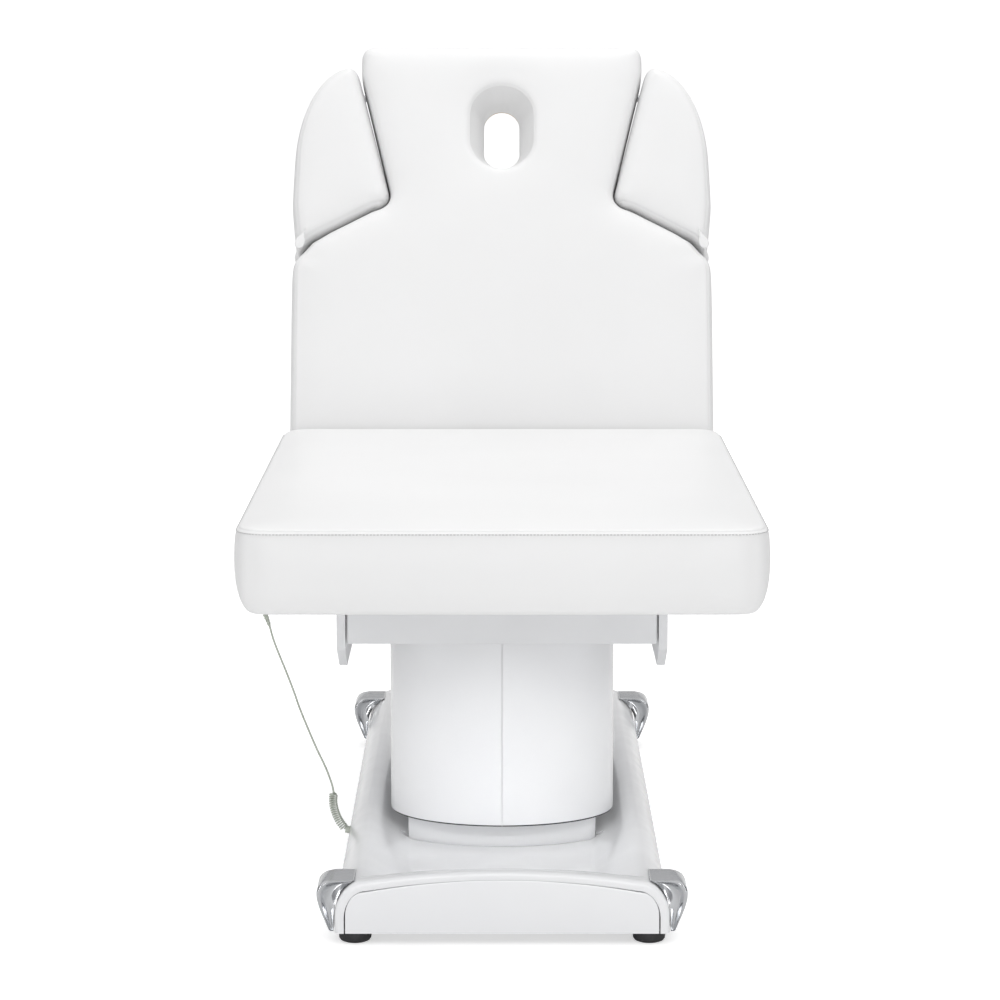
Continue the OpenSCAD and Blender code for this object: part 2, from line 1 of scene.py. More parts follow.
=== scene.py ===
"""The looks of a facial treatment bed, built around its CAD frame.

Lengths are in millimetres unless a name says otherwise; put() turns them into metres.
"""
import math

import bmesh
import bpy
import numpy as np
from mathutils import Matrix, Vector
from mathutils.geometry import delaunay_2d_cdt


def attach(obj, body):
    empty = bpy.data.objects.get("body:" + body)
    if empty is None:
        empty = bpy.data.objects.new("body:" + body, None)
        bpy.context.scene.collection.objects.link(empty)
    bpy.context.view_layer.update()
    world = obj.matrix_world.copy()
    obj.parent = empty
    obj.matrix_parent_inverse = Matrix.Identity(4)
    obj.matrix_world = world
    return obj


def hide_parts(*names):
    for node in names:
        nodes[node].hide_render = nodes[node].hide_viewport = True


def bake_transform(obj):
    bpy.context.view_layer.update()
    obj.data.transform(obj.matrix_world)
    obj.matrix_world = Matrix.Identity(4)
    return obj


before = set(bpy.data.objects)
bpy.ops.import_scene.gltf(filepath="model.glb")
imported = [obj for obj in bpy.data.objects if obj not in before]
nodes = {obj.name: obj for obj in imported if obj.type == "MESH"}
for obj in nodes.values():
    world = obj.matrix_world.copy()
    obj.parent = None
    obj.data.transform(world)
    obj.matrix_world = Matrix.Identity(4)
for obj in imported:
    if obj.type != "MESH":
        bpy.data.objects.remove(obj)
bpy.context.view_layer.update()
scene = bpy.context.scene

MM = 0.001

# Places that the CAD model shares
SEAT_TOP, SEAT_BOTTOM = 610, 499
SEAT_FRONT, SEAT_REAR = -736.5, 328
SEAT_HALF = 354.5
PIVOT_Y, PIVOT_Z = 385, 555
BACK_ANGLE = math.radians(71)
BACK_HALF_T = 55
BASE_FRONT, BASE_REAR = -570, 738
BASE_MID = (BASE_FRONT + BASE_REAR) / 2
SHELL_Z, DECK_Z = 15, 53
HAND_Y = -135
COIL_TURNS = 18
CORD_D = 3.0
COIL_WIRE = 0.74            # share of the cord's diameter drawn in the coil, so its turns read apart


# ---------- camera, light and floor ----------

def link(obj):
    scene.collection.objects.link(obj)
    return obj


def make_camera():
    data = bpy.data.cameras.new("camera")
    data.lens, data.sensor_width, data.clip_end = 118.8, 36, 60
    camera = link(bpy.data.objects.new("camera", data))
    camera.location = (-0.003, -5.035, 1.297)
    camera.rotation_euler = (math.radians(81.47), 0, 0)
    scene.camera = camera


def area_light(name, place, target, size, power):
    data = bpy.data.lights.new(name, "AREA")
    data.shape, data.size, data.size_y, data.energy = "RECTANGLE", size[0], size[1], power
    light = link(bpy.data.objects.new(name, data))
    light.location = place
    light.rotation_euler = (Vector(target) - Vector(place)).to_track_quat("-Z", "Y").to_euler()
    return light


def make_studio():
    """A white floor and backdrop under a bright dome whose horizon is grey, so that polished
    metal has something dark to reflect."""
    area_light("key_above", (0.2, -0.2, 3.6), (0, 0.1, 0.6), (2.8, 2.2), 33)
    area_light("front_low", (0, -6.3, 0.7), (0, 0, 0.45), (4.0, 1.2), 70)
    for word, side, power in (("left", -1, 6), ("right", 1, 4)):
        strip = area_light("strip_" + word, (side * 2.4, -1.3, 0.6), (0, 0, 0.25), (0.2, 1.1), power)
        strip.visible_diffuse = False
    under = area_light("under_seat", (0, -0.60, 0.46), (0, -0.27, 0.06), (0.5, 0.05), 0.2)
    under.data.spread = math.radians(64)
    under.visible_camera = under.visible_glossy = False
    world = bpy.data.worlds.new("studio")
    world.use_nodes = True
    tree = world.node_tree
    coords = tree.nodes.new("ShaderNodeTexCoord")
    split = tree.nodes.new("ShaderNodeSeparateXYZ")
    ramp = tree.nodes.new("ShaderNodeValToRGB")
    ramp.color_ramp.elements[0].position, ramp.color_ramp.elements[1].position = 0.12, 0.5
    ramp.color_ramp.elements[0].color = (0.40, 0.40, 0.41, 1)
    ramp.color_ramp.elements[1].color = (0.95, 0.95, 0.95, 1)
    tree.links.new(coords.outputs["Generated"], split.inputs["Vector"])
    tree.links.new(split.outputs["Z"], ramp.inputs["Fac"])
    tree.links.new(ramp.outputs["Color"], tree.nodes["Background"].inputs["Color"])
    tree.nodes["Background"].inputs["Strength"].default_value = 0.95
    scene.world = world
    scene.view_settings.view_transform = "Standard"

    # dark cards beside the bed, which only its polished parts show
    for side in (-1, 1):
        corners = [(side * 2300, y, z) for y, z in ((-500, 20), (900, 20), (900, 900), (-500, 900))]
        card = put("dark_card", corners, [(0, 1, 2, 3)], MAT["black"])
        card.visible_camera = card.visible_diffuse = card.visible_shadow = False

    # a floor that curves up into a low backdrop
    bend, far, high = 0.6, 9.0, 1.6
    profile = [(-7.0, 0.0), (far - bend, 0.0)]
    profile += [(far - bend + bend * math.sin(a), bend - bend * math.cos(a))
                for a in np.linspace(0, math.pi / 2, 24)[1:]]
    profile += [(far, high)]
    points = [(x * 1000, y * 1000, z * 1000) for y, z in profile for x in (-7.0, 7.0)]
    faces = [(2 * i, 2 * i + 1, 2 * i + 3, 2 * i + 2) for i in range(len(profile) - 1)]
    floor = put("studio_floor", points, faces, MAT["floor"])
    # the camera sees the floor a little brighter than it lights the bed
    tree = MAT["floor"].node_tree
    seen = tree.nodes.new("ShaderNodeLightPath")
    glow = tree.nodes.new("ShaderNodeMapRange")
    glow.inputs["To Min"].default_value, glow.inputs["To Max"].default_value = 0.12, 0.55
    tree.links.new(seen.outputs["Is Camera Ray"], glow.inputs["Value"])
    tree.links.new(glow.outputs["Result"], tree.nodes["Principled BSDF"].inputs["Emission Strength"])


# ---------- materials ----------

def material(name, color, rough, color_to=None, tone_scale=4.0, rough_to=None, rough_scale=30.0,
             grain=None, grain_kind="noise", stretch=None, **shader):
    """A procedural material: colour and roughness vary slowly, and grain = (scale per metre,
    height in mm) roughens the surface. Other names are sockets of the shader."""
    mat = bpy.data.materials.new(name)
    mat.use_nodes = True
    tree = mat.node_tree
    out = tree.nodes["Principled BSDF"]
    out.inputs["Base Color"].default_value = (*color, 1)
    out.inputs["Roughness"].default_value = rough
    for key, value in shader.items():
        out.inputs[key.replace("_", " ")].default_value = value
    coords = tree.nodes.new("ShaderNodeTexCoord")
    place = tree.nodes.new("ShaderNodeMapping")
    place.inputs["Scale"].default_value = stretch or (1, 1, 1)
    tree.links.new(coords.outputs["Object"], place.inputs["Vector"])

    def noise(scale, detail=3.0):
        node = tree.nodes.new("ShaderNodeTexNoise")
        node.inputs["Scale"].default_value = scale
        node.inputs["Detail"].default_value = detail
        tree.links.new(place.outputs["Vector"], node.inputs["Vector"])
        return node

    if color_to:
        ramp = tree.nodes.new("ShaderNodeValToRGB")
        ramp.color_ramp.elements[0].position, ramp.color_ramp.elements[1].position = 0.3, 0.7
        ramp.color_ramp.elements[0].color = (*color, 1)
        ramp.color_ramp.elements[1].color = (*color_to, 1)
        tree.links.new(noise(tone_scale).outputs["Fac"], ramp.inputs["Fac"])
        tree.links.new(ramp.outputs["Color"], out.inputs["Base Color"])
    if rough_to is not None:
        span = tree.nodes.new("ShaderNodeMapRange")
        span.inputs["From Min"].default_value, span.inputs["From Max"].default_value = 0.3, 0.7
        span.inputs["To Min"].default_value, span.inputs["To Max"].default_value = rough, rough_to
        tree.links.new(noise(rough_scale).outputs["Fac"], span.inputs["Value"])
        tree.links.new(span.outputs["Result"], out.inputs["Roughness"])
    if grain:
        scale, height = grain
        if grain_kind == "cells":
            cells = tree.nodes.new("ShaderNodeTexVoronoi")
            cells.feature = "DISTANCE_TO_EDGE"
            cells.inputs["Scale"].default_value = scale
            tree.links.new(place.outputs["Vector"], cells.inputs["Vector"])
            level = cells.outputs["Distance"]
        else:
            level = noise(scale, 2.0).outputs["Fac"]
        bump = tree.nodes.new("ShaderNodeBump")
        bump.inputs["Strength"].default_value = 0.5
        bump.inputs["Distance"].default_value = height * MM
        tree.links.new(level, bump.inputs["Height"])
        tree.links.new(bump.outputs["Normal"], out.inputs["Normal"])
    return mat


MAT = {
    "floor": material("floor_paper", (0.74, 0.74, 0.74), 0.9, (0.76, 0.76, 0.76), 1.0,
                      Emission_Color=(1, 1, 1, 1), Emission_Strength=0.12),
    "leather": material("white_vinyl_leather", (0.80, 0.80, 0.80), 0.42, (0.825, 0.825, 0.825), 3.0,
                        0.50, 12.0, (950, 0.12), "cells", Coat_Weight=0.05),
    "thread": material("pale_grey_thread", (0.50, 0.50, 0.50), 0.65, (0.58, 0.58, 0.58), 300.0,
                       grain=(2500, 0.1)),
    "shell": material("white_gloss_plastic", (0.86, 0.865, 0.88), 0.14, (0.88, 0.885, 0.895), 5.0,
                      0.24, 20.0, (240, 0.015), Coat_Weight=0.3),
    "paint": material("grey_white_paint", (0.73, 0.735, 0.745), 0.34, (0.76, 0.765, 0.775), 9.0,
                      0.42, 40.0, (700, 0.03)),
    "chrome": material("polished_chrome", (0.55, 0.56, 0.575), 0.09, (0.59, 0.60, 0.615), 12.0,
                       0.15, 60.0, (300, 0.004), Metallic=1.0),
    "steel": material("zinc_steel", (0.50, 0.51, 0.53), 0.30, (0.62, 0.62, 0.63), 45.0,
                      0.46, 120.0, (500, 0.02), Metallic=1.0),
    "bright": material("ground_steel", (0.68, 0.69, 0.71), 0.14, (0.74, 0.75, 0.76), 30.0,
                       0.24, 200.0, (900, 0.006), stretch=(1, 0.1, 1), Metallic=1.0),
    "alloy": material("drawn_aluminium", (0.72, 0.73, 0.74), 0.26, (0.78, 0.78, 0.79), 60.0,
                      0.36, 200.0, (600, 0.01), stretch=(1, 1, 0.04), Metallic=1.0),
    "nylon": material("nylon", (0.80, 0.79, 0.74), 0.45, (0.84, 0.83, 0.79), 20.0, 0.55, 60.0,
                      (900, 0.03)),
    "rubber": material("black_rubber", (0.012, 0.012, 0.014), 0.48, (0.022, 0.022, 0.024), 40.0,
                       0.62, 80.0, (1400, 0.06)),
    "black": material("black_moulded_plastic", (0.018, 0.018, 0.02), 0.38, (0.03, 0.03, 0.032),
                      20.0, 0.5, 60.0, (1600, 0.04)),
    "handset": material("handset_plastic", (0.66, 0.67, 0.66), 0.36, (0.70, 0.70, 0.69), 15.0,
                        0.46, 50.0, (1800, 0.03)),
    "button": material("button_rubber", (0.16, 0.18, 0.17), 0.5, (0.20, 0.22, 0.21), 60.0, 0.6,
                       90.0, (1600, 0.04)),
    "cord": material("sage_cord", (0.42, 0.45, 0.39), 0.38, (0.48, 0.51, 0.45), 90.0, 0.48, 90.0,
                     (1800, 0.03)),
    "ply": material("birch_plywood", (0.55, 0.40, 0.25), 0.55, (0.68, 0.53, 0.36), 6.0, 0.7, 30.0,
                    (120, 0.1), stretch=(1, 0.08, 1)),
}


# ---------- meshes ----------

def put(name, points, faces, mat, body=None, slot=None, smooth=True):
    """A mesh object from points in millimetres, with its faces turned outwards."""
    mesh = bpy.data.meshes.new(name)
    mesh.from_pydata([tuple(MM * float(c) for c in p) for p in points], [], faces)
    turned = bmesh.new()
    turned.from_mesh(mesh)
    bmesh.ops.recalc_face_normals(turned, faces=turned.faces)
    turned.to_mesh(mesh)
    turned.free()
    mesh.materials.append(mat)
    mesh.polygons.foreach_set("use_smooth", [smooth] * len(mesh.polygons))
    obj = link(bpy.data.objects.new(name, mesh))
    if body:
        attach(obj, body)
    return obj


def loft(rings, close_ends=True):
    """Points and faces of a skin over closed rings with the same number of points."""
    count = len(rings[0])
    points = [p for ring in rings for p in ring]
    faces = [(r * count + k, r * count + (k + 1) % count,
              (r + 1) * count + (k + 1) % count, (r + 1) * count + k)
             for r in range(len(rings) - 1) for k in range(count)]
    if close_ends:
        faces += [tuple(range(count - 1, -1, -1)),
                  tuple((len(rings) - 1) * count + k for k in range(count))]
    return points, faces


def tube_rings(path, radii, sides):
    """Rings round a path, turned as little as possible from one to the next."""
    path = [Vector(p) for p in path]
    rings, side = [], None
    for i, point in enumerate(path):
        ahead = (path[min(i + 1, len(path) - 1)] - path[max(i - 1, 0)]).normalized()
        if side is None:
            side = ahead.orthogonal().normalized()
        side = (side - ahead * side.dot(ahead)).normalized()
        other = ahead.cross(side)
        rings.append([point + radii[i] * (math.cos(a) * side + math.sin(a) * other)
                      for a in np.linspace(0, 2 * math.pi, sides, endpoint=False)])
    return rings


def spline(points, count):
    """Catmull-Rom curve through the points, with count points for each span."""
    points = [np.array(p, float) for p in points]
    curve = []
    for i in range(len(points) - 1):
        a, b = points[max(i - 1, 0)], points[i]
        c, d = points[i + 1], points[min(i + 2, len(points) - 1)]
        for t in np.arange(count) / count:
            curve.append(0.5 * (2 * b + (c - a) * t + (2 * a - 5 * b + 4 * c - d) * t * t
                                + (3 * b - a - 3 * c + d) * t ** 3))
    return curve + [points[-1]]


def arc(cx, cy, rx, ry, a0, a1, n=8):
    return [(cx + rx * math.cos(math.radians(a)), cy + ry * math.sin(math.radians(a)))
            for a in np.linspace(a0, a1, n + 1)]


def rounded(w, l, r, n=8, cx=0, cy=0):
    """A rectangle with round corners, counterclockwise."""
    x, y = w / 2 - r, l / 2 - r
    return (arc(cx + x, cy + y, r, r, 0, 90, n) + arc(cx - x, cy + y, r, r, 90, 180, n)
            + arc(cx - x, cy - y, r, r, 180, 270, n) + arc(cx + x, cy - y, r, r, 270, 360, n))


def evenly(outline, step):
    """A closed outline as evenly spaced points."""
    p = np.array(outline, float)
    p = p[np.linalg.norm(p - np.roll(p, 1, 0), axis=1) > 1e-6]
    q = np.vstack([p, p[:1]])
    run = np.concatenate([[0], np.cumsum(np.linalg.norm(np.diff(q, axis=0), axis=1))])
    count = int(round(run[-1] / step))
    at = np.arange(count) * run[-1] / count
    return np.stack([np.interp(at, run, q[:, 0]), np.interp(at, run, q[:, 1])], axis=1)


def inward(outline, passes=2):
    """The inward direction at each point of a counterclockwise outline."""
    along = np.roll(outline, -1, 0) - np.roll(outline, 1, 0)
    n = np.stack([-along[:, 1], along[:, 0]], axis=1)
    for _ in range(passes):
        n = (np.roll(n, 1, 0) + 2 * n + np.roll(n, -1, 0)) / 4
    return n / np.linalg.norm(n, axis=1)[:, None]


def inset_track(base, deepest):
    """The outline moved inwards 1 mm at a time, with its points kept apart."""
    track = [base]
    for _ in range(int(math.ceil(deepest))):
        p = track[-1]
        n = inward(p)
        pull = (np.roll(p, 1, 0) + np.roll(p, -1, 0)) / 2 - p
        along = pull - n * np.sum(pull * n, axis=1)[:, None]
        track.append(p + n + 0.4 * along + 0.06 * (pull - along))
    return np.array(track)


def at_inset(track, insets):
    """Each point of the outline at its own inset."""
    low = np.minimum(insets.astype(int), len(track) - 2)
    t = (insets - low)[:, None]
    k = np.arange(track.shape[1])
    return track[low, k] * (1 - t) + track[low + 1, k] * t


def inside(points, loop):
    """Which points lie in a closed loop."""
    x, y = points[:, 0][:, None], points[:, 1][:, None]
    a, b = loop, np.roll(loop, -1, 0)
    crosses = (a[:, 1] > y) != (b[:, 1] > y)
    rise = np.where(b[:, 1] == a[:, 1], 1e-12, b[:, 1] - a[:, 1])
    return (crosses & (x < a[:, 0] + (y - a[:, 1]) * (b[:, 0] - a[:, 0]) / rise)).sum(1) % 2 == 1


def distance(points, loops):
    """Distance from each point to the nearest point of the loops."""
    near = np.vstack(loops)
    return np.array([np.min(np.linalg.norm(near - p, axis=1)) for p in points])


def fill(loops, step):
    """Triangles over the area in loops[0] and outside the other loops. Gives the points that
    were added, and triangles that count the loops' own points first."""
    edge = np.vstack(loops)
    (x0, y0), (x1, y1) = edge.min(0), edge.max(0)
    rows = np.arange(y0 + step / 2, y1, step * 0.87)
    grid = np.array([(x + (step / 2 if i % 2 else 0), y)
                     for i, y in enumerate(rows) for x in np.arange(x0, x1, step)])
    keep = inside(grid, loops[0])
    for hole in loops[1:]:
        keep &= ~inside(grid, hole)
    grid = grid[keep]
    grid = grid[distance(grid, loops) > 0.6 * step]
    edges, start = [], 0
    for loop in loops:
        edges += [(start + k, start + (k + 1) % len(loop)) for k in range(len(loop))]
        start += len(loop)
    flat = np.vstack([edge, grid]) if len(grid) else edge
    verts, _, faces, origin, _, _ = delaunay_2d_cdt([Vector(p) for p in flat], edges, [], 0, 1e-5)
    source = []
    for place, known in zip(verts, origin):
        if not known:                       # where two edges crossed
            flat = np.vstack([flat, place])
            grid = np.vstack([grid, place])
        source.append(known[0] if known else len(flat) - 1)
    centres = np.array([np.mean([verts[i] for i in f], axis=0) for f in faces])
    keep = inside(centres, loops[0])
    for hole in loops[1:]:
        keep &= ~inside(centres, hole)
    return grid, [tuple(source[i] for i in f) for f, k in zip(faces, keep) if k]


def coords(obj):
    out = np.zeros(len(obj.data.vertices) * 3)
    obj.data.vertices.foreach_get("co", out)
    return out.reshape(-1, 3)


def set_coords(obj, values):
    obj.data.vertices.foreach_set("co", np.asarray(values, float).ravel())
    obj.data.update()


def apply_modifiers(obj):
    mesh = bpy.data.meshes.new_from_object(obj.evaluated_get(bpy.context.evaluated_depsgraph_get()))
    obj.modifiers.clear()
    obj.data = mesh


def add_modifier(obj, kind, **values):
    modifier = obj.modifiers.new(kind.lower(), kind)
    for key, value in values.items():
        setattr(modifier, key, value)
    return modifier


def cut(obj, name, points, faces):
    """Cuts a closed shape out of obj."""
    tool = put(name, points, faces, obj.data.materials[0])
    add_modifier(obj, "BOOLEAN", operation="DIFFERENCE", solver="EXACT", object=tool)
    apply_modifiers(obj)
    bpy.data.objects.remove(tool)


def prism(outline, low, high):
    return loft([[(x, y, z) for x, y in outline] for z in (low, high)])


# ---------- upholstery ----------

def puff(obj, pinned, cap, pressure=4.0, frames=18):
    """Blows the cover up between its pinned seams, no further than cap."""
    group = obj.vertex_groups.new(name="pin")
    group.add([int(i) for i in pinned], 1.0, "REPLACE")
    rest = coords(obj)
    cloth = obj.modifiers.new("cloth", "CLOTH")
    cloth.settings.quality = 4
    cloth.settings.mass = 0.3
    cloth.settings.use_pressure = True
    cloth.settings.uniform_pressure_force = pressure
    cloth.settings.effector_weights.gravity = 0
    cloth.settings.vertex_group_mass = "pin"
    cloth.settings.bending_stiffness = 8
    for step in range(1, frames + 1):
        scene.frame_set(step)
    moved = np.zeros(len(rest) * 3)
    evaluated = obj.evaluated_get(bpy.context.evaluated_depsgraph_get())
    evaluated.data.vertices.foreach_get("co", moved)
    move = moved.reshape(-1, 3) - rest
    length = np.linalg.norm(move, axis=1)
    cap = cap * MM
    share = np.where(length > 1e-9, cap * np.tanh(length / cap) / np.maximum(length, 1e-9), 0)
    obj.modifiers.clear()
    obj.vertex_groups.clear()
    set_coords(obj, rest + move * share[:, None])
    scene.frame_set(1)


def cushion(name, outline, bands, faces_in, weight, place, hole=None, step=9, grid_step=15,
            cap=5, crown=4, shape=None):
    """An upholstered piece. bands and faces_in are two lists each of (inset, height): over the
    band to the seam, and on from the seam. weight says how much of the second list each point
    of the outline takes. hole = rings of an opening, from the face down. place turns a point
    into the row frame. Gives the piece and the line just below its seam."""
    base = evenly(outline, step)
    sections = [side + face for side, face in zip(bands, faces_in)]
    seam = len(bands[0]) - 1
    track = inset_track(base, max(s[0] for section in sections for s in section) + 1)
    mix = np.array([weight(x, y) for x, y in base])
    rings = []
    for one, two in zip(*sections):
        height = one[1] * (1 - mix) + two[1] * mix
        plan = at_inset(track, one[0] * (1 - mix) + two[0] * mix)
        rings.append(np.hstack([plan, height[:, None]]))
    count = len(base)
    points = [tuple(p) for ring in rings for p in ring]
    _, faces = loft(rings, close_ends=False)
    last = (len(rings) - 1) * count
    hole_rings = hole or []
    hole_start = len(points)
    points += [tuple(p) for ring in hole_rings for p in ring]
    hole_count = len(hole_rings[0]) if hole else 0
    if hole:
        faces += [tuple(hole_start + i for i in f) for f in loft(hole_rings, close_ends=False)[1]]

    def cover(ring_start, hole_ring_start, height):
        loops = [np.array([points[ring_start + k][:2] for k in range(count)])]
        index = [ring_start + k for k in range(count)]
        if hole:
            loops.append(np.array([points[hole_ring_start + k][:2] for k in range(hole_count)]))
            index += [hole_ring_start + k for k in range(hole_count)]
        grid, triangles = fill(loops, grid_step)
        index += [len(points) + k for k in range(len(grid))]
        away = distance(grid, loops)
        points.extend((x, y, height(d)) for (x, y), d in zip(grid, away))
        faces.extend(tuple(index[i] for i in t) for t in triangles)

    top = points[last][2]
    cover(last, hole_start, lambda d: top + crown * (1 - math.exp(-d / 45)))
    cover(0, hole_start + (len(hole_rings) - 1) * hole_count, lambda d: points[0][2])
    flat = [shape(p) if shape else p for p in points]
    obj = put(name, [place(p) for p in flat], faces, MAT["leather"])
    pinned = [r * count + k for r in (seam - 1, seam, seam + 1) for k in range(count)]
    pinned += list(range(hole_start, hole_start + len(hole_rings) * hole_count))
    lowest = min(p[2] for p in points)
    pinned += [i for i, p in enumerate(points) if p[2] < lowest + 6]
    puff(obj, sorted(set(pinned)), cap)
    line = coords(obj)[(seam - 2) * count:(seam - 1) * count] / MM
    add_modifier(obj, "SUBSURF", levels=1, render_levels=1)
    apply_modifiers(obj)
    obj.data.polygons.foreach_set("use_smooth", [True] * len(obj.data.polygons))
    return obj, line


def stitches(name, line, out, body, length=3.0, pitch=4.6, lift=0.35, thick=0.75):
    """Rows of short threads that lie on a line of points; out gives each one's outward side."""
    line = np.asarray(line, float)
    run = np.concatenate([[0], np.cumsum(np.linalg.norm(np.diff(line, axis=0), axis=1))])

    def at(s):
        return Vector([np.interp(s, run, line[:, k]) for k in range(3)])

    points, faces = [], []
    s = pitch
    while s + length < run[-1]:
        a, b = at(s), at(s + length)
        up = Vector(out(a)).normalized()
        path = [a.lerp(b, t) + up * (lift + rise) for t, rise in
                ((0, -0.5), (0.18, 0.15), (0.5, 0.3), (0.82, 0.15), (1, -0.5))]
        some, sides = loft(tube_rings(path, [thick * r for r in (0.6, 1, 1, 1, 0.6)], 6))
        faces += [tuple(len(points) + i for i in f) for f in sides]
        points += some
        s += pitch
    put(name, points, faces, MAT["thread"], body, "upholstery")


def panel(name, outline, low, high, place, mat, body, slot, hole=None, replaced=()):
    """A flat board, with an opening if there is a hole outline."""
    loops = [evenly(outline, 14)] + ([np.array(hole, float)] if hole is not None else [])
    grid, triangles = fill(loops, 60)
    flat = np.vstack(loops + ([grid] if len(grid) else []))
    count = len(flat)
    points = [place((x, y, z)) for z in (low, high) for x, y in flat]
    faces = list(triangles) + [tuple(count + i for i in t) for t in triangles]
    start = 0
    for loop in loops:
        ring = [start + k for k in range(len(loop))]
        faces += [(a, b, b + count, a + count) for a, b in zip(ring, ring[1:] + ring[:1])]
        start += len(loop)
    obj = put(name, points, faces, mat, body, slot, smooth=False)
    if replaced:
        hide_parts(*replaced)


def on_bed(p):
    return p


def on_back(p):
    """From the frame of the back lying flat to the row frame."""
    x, y, z = p
    c, s = math.cos(BACK_ANGLE), math.sin(BACK_ANGLE)
    return (x, PIVOT_Y + y * c - z * s, PIVOT_Z + y * s + z * c)


def band(foot, turn, seam, groove=1.5):
    """(inset, height) from the underside over the band to a grooved seam and onto the face.
    foot = (height of the underside, margin under the board), turn = (inset, rise) of the lower
    corner's curve, seam = (inset, height)."""
    low, margin = foot
    rings = [(turn[0] + margin, low + 3.6), (turn[0] + margin, low + 0.5), (turn[0] + 8, low + 0.3)]
    rings += [(turn[0] * (1 - math.sin(a)), low + turn[1] * (1 - math.cos(a)))
              for a in np.linspace(0.05, math.pi / 2, 9)]
    rise = seam[1] - (low + turn[1])
    rings += [(seam[0] * 0.25 * (t / 0.75) ** 2, low + turn[1] + rise * t) for t in (0.3, 0.55, 0.75)]
    rings += [(seam[0] * 0.5, seam[1] - 6), (seam[0] * 0.72, seam[1] - 3.2),
              (seam[0] * 0.9, seam[1] - 1.5), (seam[0] + groove, seam[1] - 0.5)]
    return rings


def build_seat():
    mid = (SEAT_FRONT + SEAT_REAR) / 2
    outline = rounded(2 * (SEAT_HALF + 3.5), SEAT_REAR - SEAT_FRONT, 46, 12, 0, mid)
    onto = [(7.0, SEAT_TOP + 0.2), (10, SEAT_TOP + 1.4), (16, SEAT_TOP + 2.4), (26, SEAT_TOP + 3.0)]
    sides = band((SEAT_BOTTOM - 0.4, 24), (43, 83), (5, SEAT_TOP - 1.5), groove=2.4)
    front = band((SEAT_BOTTOM - 3.4, 49), (16, 28), (5, SEAT_TOP - 1.5), groove=2.4)

    def weight(x, y):
        t = max(0.0, min(1.0, (SEAT_FRONT + 68 - y) / 60))
        return t * t * (3 - 2 * t)

    seat, below = cushion("seat_upholstery", outline, [sides, front], [onto, onto], weight, on_bed,
                          step=11, grid_step=24, cap=3.0, crown=1.5)
    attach(seat, "bed_frame")
    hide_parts("seat_cushion")

    def away(p):
        core = Vector((max(-280, min(280, p[0])), mid + max(-458, min(458, p[1] - mid)), p[2]))
        return Vector(p) - core

    stitches("seat_stitching", np.vstack([below, below[:1]]), away, "bed_frame")
    board = rounded(2 * (SEAT_HALF - 74), SEAT_REAR - SEAT_FRONT - 148, 12, 4, 0, mid)
    panel("seat_board_panel", board, SEAT_BOTTOM + 1.0, SEAT_BOTTOM + 3.9, on_bed, MAT["ply"],
          "bed_frame", "plywood", replaced=["seat_board"])


def back_outline():
    half = [(350, -55), (350, 300)] + arc(320, 312, 30, 30, 0, 60, 4)
    half += [(316, 360), (212, 414)] + arc(212, 440, 26, 26, -100, -190, 6)
    half += [(236, 652)] + arc(218, 679, 18, 18, 0, 90, 6)
    half += [(120, 697.5), (0, 696.5)]
    return half + [(-x, y) for x, y in half[-2::-1]]


def hole_rings():
    """Rings of the face opening, from the cushion's face through to its underside."""
    mid = 554
    wide, narrow = (108, 145, 53), (60, 112, 29.4)
    lip = [(13, 57.4), (8.5, 56.8), (4.8, 55.6), (2.4, 53.8), (0.8, 51.6), (-1.2, 50.6), (-0.6, 48.6)]
    rings = []
    for grow, z in lip:
        rings.append([(x, y, z) for x, y in
                      rounded(wide[0] + 2 * grow, wide[1] + 2 * grow, wide[2] + grow, 9, 0, mid)])
    for t, z in ((0.1, 43), (0.3, 34), (0.55, 20), (0.8, 6), (1, -8), (1, -30), (1, -50), (1, -51.4)):
        w, l, r = [a + (b - a) * t for a, b in zip(wide, narrow)]
        rings.append([(x, y, z) for x, y in rounded(w, l, r, 9, 0, mid)])
    return rings


def build_back():
    boxed = band((-BACK_HALF_T + 0.2, 22), (12, 26), (8, 50))
    onto = [(10.2, 51.6), (13, 53.4), (18, 54.8), (24, 55.9)]
    rolled = band((-BACK_HALF_T + 0.2, 22), (3, 12), (0.8, 34), groove=0.2)
    over = [(2.0, 42.5), (4.4, 48.5), (8.5, 52.9), (16, 55.6)]

    def weight(x, y):
        return 1.0 if y > 375 else max(0.0, min(1.0, (y - 340) / 35))

    def rounded_foot(p):
        x, y, z = p
        if y >= 0:
            return p
        return (x, y, z * max(0.05, math.sqrt(max(0.0, 1 - (y / 55.0) ** 2))))

    back, _ = cushion("back_upholstery", back_outline(), [boxed, rolled], [onto, over], weight,
                      on_back, hole=hole_rings(), step=8, cap=3.0, crown=2, shape=rounded_foot)
    for side in (-1, 1):
        x0, x1 = sorted((side * 200, side * 227))
        notch = [(-66, -66), (84, -66), (84, -50), (28, -20), (24, 28), (-24, 28), (-66, 55)]
        rings = [[on_back((x, y, z)) for y, z in notch] for x in (x0, x1)]
        cut(back, "hinge_notch", *loft(rings))
    back.data.polygons.foreach_set("use_smooth", [True] * len(back.data.polygons))
    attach(back, "back")
    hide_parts("back_cushion")

    inner = inset_track(evenly(back_outline(), 10), 35)[35]
    board = [(x, max(y, 30)) for x, y in inner]
    board = [(x, y) for x, y in board if not (y == 30 and abs(x) < 300)]
    panel("back_board_panel", board, -54.2, -51.6, on_back, MAT["ply"], "back", "plywood",
          hole=rounded(61, 113, 30.5, 9, 0, 554), replaced=["back_board"])


def pad_outline():
    line = arc(212, 440, 24, 24, -190, -100, 6) + [(213.2, 416.2), (317.2, 362.4)]
    line += [(336.5, 341), (343, 341), (351, 423), (348, 490)] + arc(248, 490, 100, 176, 8, 84, 14)
    return line + [(250, 662), (243, 655), (239, 645)]


